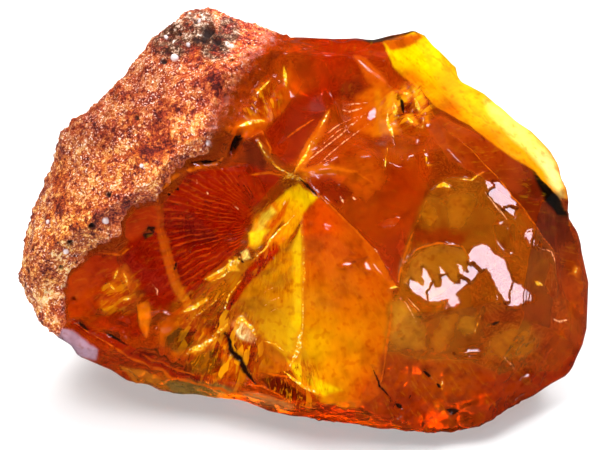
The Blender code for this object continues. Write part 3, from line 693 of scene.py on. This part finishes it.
relief = lift * broken
size, seed, height = CRUST_GRAINS
relief += crust * (height * grains_over(points, size, seed) + lumps(CRUST_LUMPS) - CRUST_SUNK)
distance, side, progress = along_line(drifted, LEDGE)
relief += front_crust * facing * LEDGE_HEIGHT * smooth_step(LEDGE_RUN, 0, distance) * (side > 0)
for place, reach in PALE_GRAINS:
    relief += PALE_GRAIN_HEIGHT * facing * smooth_step(reach + 0.5, reach * 0.4, around(spots, place)[0])
for place, reach in PITS:
    relief -= PIT_DEPTH * facing * smooth_step(reach * 1.3, reach * 0.3, around(spots, place)[0])

# The hackle lines that fan out to the right of the star where the blow struck
distance, turn = around(drifted, STAR)
fan = smooth_step(10, 25, distance) * smooth_step(105, 70, distance)
fan *= smooth_step(-1.25, -1.0, turn) * smooth_step(0.25, 0.0, turn)
hackle = np.array([noise.noise(Vector((t * HACKLE_TURNS, r * 0.02, 0.5))) for t, r in zip(turn, distance)])
relief += broken * fan * HACKLE_HEIGHT * np.clip(np.abs(hackle) * 2.2 - 0.5, 0, 1)

# The ribs of the red bowl, to the left of it
distance, turn = around(drifted, RIB_MIDDLE)
ribbed = smooth_step(20, 48, distance) * smooth_step(135, 105, distance)
ribbed *= smooth_step(2.0, 2.3, np.abs(turn))
rib_waves = turn * 2 * math.pi / RIB_TURN
relief += broken * ribbed * RIB_HEIGHT * np.cos(rib_waves)

relief += broken * patch(drifted, ROUGH_CORNER) * lumps(CORNER_LUMPS)
size, seed, height = CRUMPLE_FOLD
folds = height * (1 - np.abs(noise_over(points, size, seed)) * 2)
relief += broken * patch(drifted, CRUMPLED) * (folds + lumps(CRUMPLE_FINE))
relief += broken * lumps(BOWL_RIPPLES)
relief[points[:, 2] < FLAT_LEVEL] = 0
points += normals * relief[:, None] * MM

# Small flat flakes have sprung off where the piece glints: each is turned halfway between the camera and
# the window of light, whose direction is given in degrees right of the camera and above it.
WINDOW_RIGHT, WINDOW_ABOVE, WINDOW_DISTANCE = 34, 22, 900 * MM
FLAKES = [
    [(485, 180), (499, 183), (517, 203), (514, 217), (500, 208), (489, 196)],
    [(404, 283), (410, 278), (418, 282), (423, 285), (421, 264), (425, 268), (431, 278), (436, 287),
     (441, 286), (439, 266), (444, 271), (450, 279), (455, 284), (460, 282), (457, 262), (462, 266),
     (468, 274), (467, 262), (470, 250), (477, 245), (486, 242), (496, 254), (504, 258), (509, 270),
     (514, 281), (524, 288), (537, 297), (532, 302), (517, 307), (508, 306), (501, 297), (494, 284),
     (489, 272), (486, 268), (480, 272), (471, 283), (460, 291), (450, 297), (440, 302), (428, 302),
     (414, 293)],
    [(525, 232), (533, 230), (534, 240), (542, 244), (538, 248), (528, 245)],
    [(460, 359), (466, 347), (485, 344), (487, 350), (476, 358)],
    [(337, 267), (349, 258), (358, 258), (352, 266), (342, 270)],
    [(362, 262), (368, 258), (374, 271), (366, 275)],
    [(302, 48), (312, 47), (313, 51), (304, 52)],
    [(367, 47), (374, 44), (372, 52)],
    [(392, 414), (400, 411), (404, 417), (396, 421)],
    [(518, 378), (528, 370), (532, 376), (522, 384)],
    [(508, 396), (524, 392), (532, 398), (516, 402)],
    [(397, 336), (402, 332), (402, 339)],
    [(261, 402), (272, 403), (277, 413), (266, 411)],
]
FLAKE_EDGE = (-1.8, 0.2)
STEP_HEIGHT = 0.9 * MM
TURNED_SOFT, MOST = 6, 0.6
# Faces that are turned a little, as slopes to the right and up, so that none mirrors the window by chance
TURNED_AWAY = [
    ([(326, 52), (388, 56), (402, 100), (424, 136), (400, 162), (344, 136), (326, 92)], (-0.2, -0.16)),
    ([(298, 176), (345, 180), (352, 226), (304, 230)], (-0.22, -0.16)),
    ([(186, 172), (246, 168), (264, 200), (240, 244), (190, 248)], (-0.16, -0.14)),
    ([(378, 226), (396, 222), (402, 262), (392, 282), (376, 262)], (-0.2, -0.16)),
    ([(492, 226), (510, 226), (514, 250), (504, 252), (494, 240)], (-0.3, -0.2)),
]


def towards(right, above):
    """The direction that is right of and above the way to the camera, by these degrees."""
    turn, rise = math.radians(right), math.radians(above) + LEAN
    return Vector((math.sin(turn) * math.cos(rise), -math.cos(turn) * math.cos(rise), math.sin(rise)))


in_face = (points - np.array(FRONT_MIDDLE)) @ AXES.T
step_wander = (0.06 * fine_wander[:, 0] + 0.1 * broad_wander[:, 1]) * MM
before = facing > 0.3
move_out = np.zeros(len(points))
for outline, (slope_right, slope_up) in TURNED_AWAY:
    cover = smooth_step(-TURNED_SOFT, TURNED_SOFT, within(spots, outline)) * before
    middle = in_face[cover > MOST].mean(axis=0)
    off_middle = in_face - middle
    move_out += cover * -(slope_right * off_middle[:, 0] + slope_up * off_middle[:, 1])
in_face[:, 2] += move_out
for outline in FLAKES:
    cover = smooth_step(*FLAKE_EDGE, within(teeth, outline)) * before
    middle = Vector(in_face[cover > MOST].mean(axis=0))
    at = FRONT_MIDDLE + ACROSS * middle.x + UP_FACE * middle.y + OUT * middle.z
    to_camera = (camera.location - at).normalized()
    to_window = (FRONT_MIDDLE + towards(WINDOW_RIGHT, WINDOW_ABOVE) * WINDOW_DISTANCE - at).normalized()
    normal = (to_camera + to_window).normalized()
    right, up, out = normal.dot(ACROSS), normal.dot(UP_FACE), normal.dot(OUT)
    plane = middle.z - (right * (in_face[:, 0] - middle.x) + up * (in_face[:, 1] - middle.y)) / out
    # A flake that would stand far off the face is broken into flat steps instead
    gap = plane - in_face[:, 2]
    change = cover * (gap - STEP_HEIGHT * np.round((gap + step_wander) / STEP_HEIGHT))
    in_face[:, 2] += change
    move_out += change
points += move_out[:, None] * np.array(OUT)
points[:, 2] = np.maximum(points[:, 2], 0)
amber.data.vertices.foreach_set("co", points.ravel())
amber.data.update()


def keep(name, values):
    """Stores one number for each point of the skin, for the material to read."""
    layer = amber.data.attributes.new(name, "FLOAT", "POINT")
    layer.data.foreach_set("value", np.asarray(values, np.float32))


keep("crust", crust)
keep("thin", thin * facing)
keep("clear", clear)
keep("shards", shards)
keep("ribbed", ribbed * broken)
keep("rib_waves", rib_waves)
for name, lines in (("bright_lines", BRIGHT_LINES), ("warm_lines", WARM_LINES), ("pale_lines", PALE_LINES),
                    ("dark_lines", DARK_LINES)):
    keep(name, nearest_line(marked, lines) + FAR_OFF * (1 - facing))
pale_grains = np.min([around(spots, place)[0] / reach for place, reach in PALE_GRAINS], axis=0)
pits = np.min([around(spots, place)[0] / reach for place, reach in PITS], axis=0)
dirty = patch(drifted, DIRTY)
keep("pale_grains", pale_grains + FAR_OFF * (1 - facing))
keep("pits", pits + FAR_OFF * (1 - facing))
keep("dirty", dirty * facing)
layer = amber.data.attributes.new("shard_place", "FLOAT_VECTOR", "POINT")
layer.data.foreach_set("vector", shard_place.astype(np.float32).ravel())
for name, colours in (("tint", tint), ("crust_tint", crust_tint)):
    layer = amber.data.attributes.new(name, "FLOAT_COLOR", "POINT")
    full_colours = np.concatenate([colours, np.ones((len(colours), 1))], axis=1)
    layer.data.foreach_set("color", full_colours.astype(np.float32).ravel())
bpy.ops.object.shade_smooth()


class Finish:
    """A node material under construction: add() makes a node, and link() joins two sockets."""

    def __init__(self, name):
        self.material = bpy.data.materials.new(name)
        self.material.use_nodes = True
        self.nodes = self.material.node_tree.nodes
        self.shader = self.nodes["Principled BSDF"]
        self.output = self.nodes["Material Output"]

    def add(self, kind, **settings):
        node = self.nodes.new(kind)
        for name, value in settings.items():
            if name in node.inputs:
                node.inputs[name].default_value = value
            else:
                setattr(node, name, value)
        return node

    def link(self, out, into):
        self.material.node_tree.links.new(out, into)

    def ramp(self, tones, factor):
        """A colour for each value, from tones that are placed from 0 to 1."""
        node = self.add("ShaderNodeValToRGB")
        for i, (place, colour) in enumerate(tones):
            stop = node.color_ramp.elements[i] if i < 2 else node.color_ramp.elements.new(place)
            stop.position = place
            stop.color = (*linear(colour), 1)
        self.link(factor, node.inputs["Fac"])
        return node.outputs["Color"]

    def mix(self, share, first, second, kind="RGBA", blend="MIX"):
        node = self.add("ShaderNodeMix", data_type=kind)
        slots = (6, 7, 2) if kind == "RGBA" else (2, 3, 0)
        if kind == "RGBA":
            node.blend_type = blend
        for value, slot in ((share, 0), (first, slots[0]), (second, slots[1])):
            if isinstance(value, bpy.types.NodeSocket):
                self.link(value, node.inputs[slot])
            else:
                node.inputs[slot].default_value = value
        return node.outputs[slots[2]]

    def paint(self, share, under, colour):
        """A plain colour, given as it looks on screen, over what is there."""
        return self.mix(share, under, (*linear(colour), 1))

    def shade(self, share, under, colour):
        return self.mix(share, under, colour, blend="MULTIPLY")

    def blend(self, share, first, second):
        """From one number to another, by a share."""
        return self.mix(share, first, second, "FLOAT")

    def math(self, operation, first, second):
        node = self.add("ShaderNodeMath", operation=operation)
        self.link(first, node.inputs[0])
        self.link(second, node.inputs[1])
        return node.outputs[0]

    def multiply(self, first, second):
        return self.math("MULTIPLY", first, second)

    def larger(self, first, second):
        return self.math("MAXIMUM", first, second)

    def noise(self, where, size, detail=3.0, roughness=0.6):
        """Noise with lumps of this size, in millimetres."""
        node = self.add("ShaderNodeTexNoise", Scale=1 / (size * MM), Detail=detail, Roughness=roughness)
        self.link(where, node.inputs["Vector"])
        return node.outputs["Fac"]

    def stretch(self, value, low, high, smooth=False):
        """0 up to low and 1 from high on. High may be the smaller."""
        node = self.add("ShaderNodeMapRange", interpolation_type="SMOOTHSTEP" if smooth else "LINEAR")
        node.inputs["From Min"].default_value = low
        node.inputs["From Max"].default_value = high
        self.link(value, node.inputs["Value"])
        return node.outputs["Result"]


# The finish of the lump. Its tones are given as they look on screen.
CRUST_TONES = [
    (0.0, (86, 18, 2)), (0.16, (136, 42, 6)), (0.36, (188, 86, 20)), (0.54, (214, 130, 42)),
    (0.7, (240, 186, 100)), (0.84, (255, 238, 204)), (1.0, (255, 255, 250)),
]
CRUST_CASTS = [
    (0.0, (216, 140, 110)), (0.35, (255, 210, 170)), (0.6, (255, 244, 206)), (1.0, (255, 236, 160)),
]
# painted highlights: pale sparkles on the grains of the crust
PAINTED_SPARKLE = (255, 244, 226)
DIRT_TONES = [
    (0.0, (12, 6, 4)), (0.36, (52, 22, 8)), (0.58, (122, 70, 38)), (0.76, (204, 170, 142)),
    (1.0, (255, 250, 248)),
]
DEPTH_TONES = [(0.0, (165, 125, 110)), (0.5, (235, 228, 222)), (1.0, (255, 255, 255))]
MOTTLE_TONES = [(0.0, (226, 180, 150)), (0.4, (255, 252, 250)), (1.0, (255, 255, 255))]
STREAK_TONES = [(0.0, (206, 96, 44)), (0.35, (242, 200, 150)), (0.6, (255, 255, 255)), (1.0, (255, 255, 255))]
# painted light along the streaks
STREAK_LIGHT = (255, 190, 10)
SHARD_TONES = [(0.0, (176, 74, 36)), (0.2, (232, 160, 110)), (0.4, (255, 255, 255))]
# The colours of the marks: the gleams, glows, bright lines and their halo are painted light, the pale
# scratches are partly painted light, and the creases and pits are painted shade; the cracks and pale grains
# are the amber's own.
GLEAM, GLOW, CRACK, PALE_GRAIN, PIT_SHADE = (255, 168, 10), (228, 104, 8), (34, 11, 4), (238, 222, 222), (34, 12, 6)
RIB_GLOW, SCRATCH_AND_GLINT, CREASE_SHADE = (220, 74, 6), (255, 184, 130), (104, 30, 3)
BRIGHT = [(0.0, (255, 130, 6)), (0.4, (255, 186, 12)), (0.75, (255, 232, 84)), (1.0, (255, 255, 225))]
PAINTED_HALO = (236, 118, 6)
AMBER_IOR = 1.54
INSIDE_DENSITY, INSIDE_COLOUR = 140.0, (0.99, 0.915, 0.0)
BREAK_ROUGH, CRUST_ROUGH = 0.05, 0.75
CRUST_THROUGH, GLEAM_THROUGH = 0.3, 0.4
WARM_THROUGH, BRIGHT_THROUGH, PALE_THROUGH, DARK_THROUGH = 0.45, 0.25, 0.2, 0.06
GRAIN = 0.5 * MM
SHARD_SCALE, STREAK_SCALE, FINE_STREAK_SCALE = 3.6, 1.6, 5.0
CREST, CREST_TOP, CREASE_START, CREASE_FULL = 0.08, 0.066, 0.014, 0.002
BUMP, BUMP_STRENGTH, LEAST_CRINKLE, FRAYED = 0.4 * MM, 0.7, 0.06, 0.35
amber_finish = Finish("amber")
where = amber_finish.add("ShaderNodeTexCoord").outputs["Object"]


def stored(name, kind="Fac"):
    """What the skin keeps for the material at each of its points."""
    return amber_finish.add("ShaderNodeAttribute", attribute_name=name).outputs[kind]


# Where the crust is, with thin crust broken up into clear amber
fine = amber_finish.noise(where, 0.42, 1.0, 0.6)
coarse = amber_finish.noise(where, 2.2, 4.0, 0.78)
crust_share = amber_finish.stretch(amber_finish.blend(0.3, stored("crust"), fine), 0.42, 0.58)
thin_share = amber_finish.stretch(amber_finish.blend(0.5, stored("thin"), coarse), 0.72, 0.42)
crust_share = amber_finish.multiply(crust_share, thin_share)

# The crust: grains of many tones, each with its own, over broader patches
grains = amber_finish.add("ShaderNodeTexVoronoi", Scale=1 / GRAIN)
amber_finish.link(where, grains.inputs["Vector"])
grain_value = amber_finish.add("ShaderNodeSeparateColor")
amber_finish.link(grains.outputs["Color"], grain_value.inputs["Color"])
patches = amber_finish.noise(where, 5.0, 2.0, 0.6)
grit = amber_finish.noise(where, 0.3, 1.0, 0.6)
speckle = amber_finish.blend(0.4, coarse, grit)
speckle = amber_finish.blend(0.12, speckle, grain_value.outputs[0])
speckle = amber_finish.blend(0.24, speckle, patches)
crust_colour = amber_finish.ramp(CRUST_TONES, amber_finish.stretch(speckle, 0.405, 0.6))
hue = amber_finish.stretch(amber_finish.noise(where, 1.3, 2.0, 0.7), 0.35, 0.65)
crust_colour = amber_finish.shade(0.7, crust_colour, amber_finish.ramp(CRUST_CASTS, hue))
crust_colour = amber_finish.shade(0.8, crust_colour, stored("crust_tint", "Color"))
pale_patch = amber_finish.stretch(patches, 0.4, 0.56)
# painted highlights, sparkling on the grains in the paler patches
painted_sparkle = amber_finish.multiply(amber_finish.stretch(grit, 0.6, 0.7), pale_patch)
crust_colour = amber_finish.paint(painted_sparkle, crust_colour, PAINTED_SPARKLE)
dirt_colour = amber_finish.ramp(DIRT_TONES, amber_finish.stretch(speckle, 0.36, 0.64))
dirt_share = amber_finish.multiply(stored("dirty"), amber_finish.stretch(coarse, 0.32, 0.5))
crust_colour = amber_finish.mix(dirt_share, crust_colour, dirt_colour)
pale_grain = amber_finish.stretch(stored("pale_grains"), 1.1, 0.7)
crust_colour = amber_finish.paint(pale_grain, crust_colour, PALE_GRAIN)
# painted shade in the pits
crust_colour = amber_finish.paint(amber_finish.stretch(stored("pits"), 1.2, 0.5), crust_colour, PIT_SHADE)

# The breaks: cloudy depths and mottling over the colours of the faces
depth = amber_finish.stretch(amber_finish.noise(where, 3.2, 2.0, 0.65), 0.3, 0.7)
clear_colour = amber_finish.shade(0.6, stored("tint", "Color"), amber_finish.ramp(DEPTH_TONES, depth))
mottle = amber_finish.stretch(amber_finish.noise(where, 1.1, 1.0, 0.7), 0.3, 0.66)
clear_colour = amber_finish.shade(0.6, clear_colour, amber_finish.ramp(MOTTLE_TONES, mottle))

# The splinters and streaks that run out from the blow, with bright threads and gleams in them, painted
# light, and dark creases, painted shade
shard_share, shards_at = stored("shards"), stored("shard_place", "Vector")
shard_cells = amber_finish.add("ShaderNodeTexVoronoi", Scale=SHARD_SCALE)
amber_finish.link(shards_at, shard_cells.inputs["Vector"])
cell_value = amber_finish.add("ShaderNodeSeparateColor")
amber_finish.link(shard_cells.outputs["Color"], cell_value.inputs["Color"])
fine_streaks = amber_finish.add("ShaderNodeTexNoise", Scale=FINE_STREAK_SCALE, Detail=3.0, Roughness=0.7,
                                Distortion=0.4)
amber_finish.link(shards_at, fine_streaks.inputs["Vector"])
streaks = amber_finish.add("ShaderNodeTexNoise", Scale=STREAK_SCALE, Detail=3.0, Roughness=0.6)
amber_finish.link(shards_at, streaks.inputs["Vector"])
streak_tone = amber_finish.ramp(STREAK_TONES, amber_finish.stretch(fine_streaks.outputs["Fac"], 0.3, 0.7))
streak_share = amber_finish.blend(shard_share, 0.12, 0.85)
clear_colour = amber_finish.shade(streak_share, clear_colour, streak_tone)
lit_streak = amber_finish.stretch(fine_streaks.outputs["Fac"], 0.56, 0.72)
clear_colour = amber_finish.mix(amber_finish.multiply(streak_share, lit_streak), clear_colour,
                                (*linear(STREAK_LIGHT), 1), blend="LIGHTEN")
shard_tone = amber_finish.ramp(SHARD_TONES, cell_value.outputs[0])
clear_colour = amber_finish.shade(shard_share, clear_colour, shard_tone)
gleam = amber_finish.multiply(shard_share, amber_finish.stretch(cell_value.outputs[1], 0.8, 0.95))
off_crest = amber_finish.add("ShaderNodeMath", operation="PINGPONG")
off_crest.inputs[1].default_value = CREST
amber_finish.link(streaks.outputs["Fac"], off_crest.inputs[0])
threads = amber_finish.multiply(shard_share, amber_finish.stretch(off_crest.outputs[0], CREST_TOP, CREST))
threads = amber_finish.multiply(threads, amber_finish.stretch(coarse, 0.42, 0.6))
gleam = amber_finish.larger(gleam, threads)
crease_shade = amber_finish.stretch(off_crest.outputs[0], CREASE_START, CREASE_FULL)
crease_shade = amber_finish.multiply(shard_share, crease_shade)
crease_shade = amber_finish.multiply(crease_shade, amber_finish.stretch(coarse, 0.6, 0.42))
# painted shade in the creases, and painted light in the gleams and threads
clear_colour = amber_finish.paint(crease_shade, clear_colour, CREASE_SHADE)
clear_colour = amber_finish.paint(gleam, clear_colour, GLEAM)

# The lines, whose edges are frayed by noise: painted light along the bright, warm and pale ones, a painted
# glow round the bright ones, painted light on the crests of the ribs, and the dark cracks
fray = amber_finish.stretch(amber_finish.noise(where, 0.9, 2.0, 0.7), 0.3, 0.7)


def frayed(name, faint, full):
    """How much a kind of line covers: from faint to full, in half widths from it."""
    field = amber_finish.blend(FRAYED, stored(name), fray)
    return amber_finish.stretch(field, faint, full, smooth=True)


painted_halo = amber_finish.blend(frayed("bright_lines", 3.6, 0.8), 0.0, 0.45)
bright = amber_finish.multiply(frayed("bright_lines", 1.15, 0.5), amber_finish.stretch(coarse, 0.36, 0.52))
warm = amber_finish.multiply(frayed("warm_lines", 1.4, 0.5), amber_finish.stretch(coarse, 0.34, 0.54))
dark = frayed("dark_lines", 1.4, 0.5)
pale = amber_finish.multiply(frayed("pale_lines", 1.6, 0.4), amber_finish.stretch(fine, 0.3, 0.55))
wave = amber_finish.add("ShaderNodeMath", operation="COSINE")
amber_finish.link(stored("rib_waves"), wave.inputs[0])
# painted light along the crests of the ribs
rib_line = amber_finish.multiply(stored("ribbed"), amber_finish.stretch(wave.outputs[0], 0.4, 1.0))
rib_line = amber_finish.multiply(rib_line, amber_finish.stretch(coarse, 0.4, 0.58))
clear_colour = amber_finish.paint(rib_line, clear_colour, RIB_GLOW)
clear_colour = amber_finish.paint(painted_halo, clear_colour, PAINTED_HALO)
clear_colour = amber_finish.paint(warm, clear_colour, GLOW)
bright_colour = amber_finish.ramp(BRIGHT, amber_finish.stretch(fine, 0.3, 0.7))
clear_colour = amber_finish.mix(bright, clear_colour, bright_colour)
clear_colour = amber_finish.paint(pale, clear_colour, SCRATCH_AND_GLINT)
clear_colour = amber_finish.paint(dark, clear_colour, CRACK)

# The whole of it: colour, gloss, how far it is seen through, and the finest relief
amber_shader = amber_finish.shader
colour = amber_finish.mix(crust_share, clear_colour, crust_colour)
amber_finish.link(colour, amber_shader.inputs["Base Color"])
rough = amber_finish.blend(crust_share, BREAK_ROUGH, CRUST_ROUGH)
amber_finish.link(rough, amber_shader.inputs["Roughness"])
through = amber_finish.blend(gleam, stored("clear"), GLEAM_THROUGH)
for lines, line_through in ((warm, WARM_THROUGH), (bright, BRIGHT_THROUGH), (pale, PALE_THROUGH),
                            (dark, DARK_THROUGH)):
    through = amber_finish.blend(lines, through, line_through)
through = amber_finish.blend(crust_share, through, CRUST_THROUGH)
amber_finish.link(through, amber_shader.inputs["Transmission Weight"])
amber_shader.inputs["IOR"].default_value = AMBER_IOR
crinkle = amber_finish.multiply(streaks.outputs["Fac"], amber_finish.blend(shard_share, LEAST_CRINKLE, 1.0))
bump = amber_finish.add("ShaderNodeBump", Strength=BUMP_STRENGTH, Distance=BUMP)
amber_finish.link(amber_finish.blend(stored("crust"), crinkle, coarse), bump.inputs["Height"])
amber_finish.link(bump.outputs["Normal"], amber_shader.inputs["Normal"])

inside = amber_finish.add("ShaderNodeVolumeAbsorption", Density=INSIDE_DENSITY)
inside.inputs["Color"].default_value = (*INSIDE_COLOUR, 1)
amber_finish.link(inside.outputs["Volume"], amber_finish.output.inputs["Volume"])

amber.data.materials.clear()
amber.data.materials.append(amber_finish.material)
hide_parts("amber_piece")
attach(amber, "root")

# The white table that the piece lies on. In the gloss of the piece it shows dark, as a black card laid
# before the piece would make it.
FLOOR_SIZE, FLOOR_ROUGH = 6.0, 0.9
TABLE_WHITE, TABLE_SEEN, TABLE_MIRRORED, TABLE_GLOW = 0.9, 0.45, 0.015, 0.4
bpy.ops.mesh.primitive_plane_add(size=FLOOR_SIZE, location=(0, 0, 0))
floor = bpy.context.active_object
floor.name = "floor"
floor_finish = Finish("white_table")
path = floor_finish.add("ShaderNodeLightPath")
levels = TABLE_WHITE, TABLE_SEEN, TABLE_MIRRORED
white, seen_white, mirrored = ((level, level, level, 1) for level in levels)
seen_colour = floor_finish.mix(path.outputs["Is Camera Ray"], white, seen_white)
table_colour = floor_finish.mix(path.outputs["Is Glossy Ray"], seen_colour, mirrored)
floor_finish.link(table_colour, floor_finish.shader.inputs["Base Color"])
floor_finish.shader.inputs["Roughness"].default_value = FLOOR_ROUGH
floor_finish.shader.inputs["Specular IOR Level"].default_value = 0.0
floor_finish.shader.inputs["Emission Color"].default_value = (1, 1, 1, 1)
glow = floor_finish.blend(path.outputs["Is Camera Ray"], 0.0, TABLE_GLOW)
floor_finish.link(glow, floor_finish.shader.inputs["Emission Strength"])
floor.data.materials.append(floor_finish.material)

# The studio: a white room behind the piece and a dark one before it, so that only the soft windows of
# light show in its gloss, while the light from behind and from the table comes through it.
BEHIND, BEFORE, SOFT, MIRRORED, SEEN = 2.4, 0.5, 0.7, 0.03, 1.3
DARK_FROM, BRIGHT_FROM = -0.3, 0.5
room = bpy.data.worlds.new("room")
bpy.context.scene.world = room
room.use_nodes = True
tree = room.node_tree
background = tree.nodes["Background"]
direction = tree.nodes.new("ShaderNodeTexCoord")
split = tree.nodes.new("ShaderNodeSeparateXYZ")
tree.links.new(direction.outputs["Generated"], split.inputs["Vector"])
brightness = tree.nodes.new("ShaderNodeMapRange")
brightness.inputs["From Min"].default_value = DARK_FROM
brightness.inputs["From Max"].default_value = BRIGHT_FROM
brightness.inputs["To Min"].default_value = BEFORE
brightness.inputs["To Max"].default_value = BEHIND
tree.links.new(split.outputs["Y"], brightness.inputs["Value"])
ray = tree.nodes.new("ShaderNodeLightPath")
strength = brightness.outputs["Result"]
for kind, level in (("Is Diffuse Ray", SOFT), ("Is Glossy Ray", MIRRORED), ("Is Camera Ray", SEEN)):
    choice = tree.nodes.new("ShaderNodeMix")
    tree.links.new(ray.outputs[kind], choice.inputs[0])
    tree.links.new(strength, choice.inputs[2])
    choice.inputs[3].default_value = level
    strength = choice.outputs[0]
tree.links.new(strength, background.inputs["Strength"])


def window_of_light(name, right, above, distance, size, power, colour=(1, 1, 1), mirrored=True):
    """A soft rectangular light, placed by how far right of and above the camera it is, in degrees."""
    away = towards(right, above)
    light = bpy.data.lights.new(name, "AREA")
    light.shape = "RECTANGLE"
    light.size, light.size_y = size
    light.energy = power
    light.color = colour
    holder = bpy.data.objects.new(name, light)
    bpy.context.scene.collection.objects.link(holder)
    holder.location = FRONT_MIDDLE + away * distance
    holder.rotation_mode = "QUATERNION"
    holder.rotation_quaternion = away.to_track_quat("Z", "Y")
    holder.visible_camera = False
    holder.visible_glossy = mirrored


window_of_light("window", WINDOW_RIGHT, WINDOW_ABOVE, WINDOW_DISTANCE, (0.13, 0.12), 0.76, (0.96, 0.84, 1.0))
window_of_light("key", -35, 30, 0.9, (0.35, 0.35), 8, mirrored=False)
window_of_light("backlight", 150, 10, 0.7, (0.6, 0.4), 8, mirrored=False)
window_of_light("overhead", 0, 60, 1.2, (1.0, 1.0), 18, mirrored=False)

view = bpy.context.scene.view_settings
view.view_transform = "Standard"
cycles = bpy.context.scene.cycles
cycles.max_bounces = cycles.transmission_bounces = 7
cycles.glossy_bounces, cycles.diffuse_bounces = 4, 2
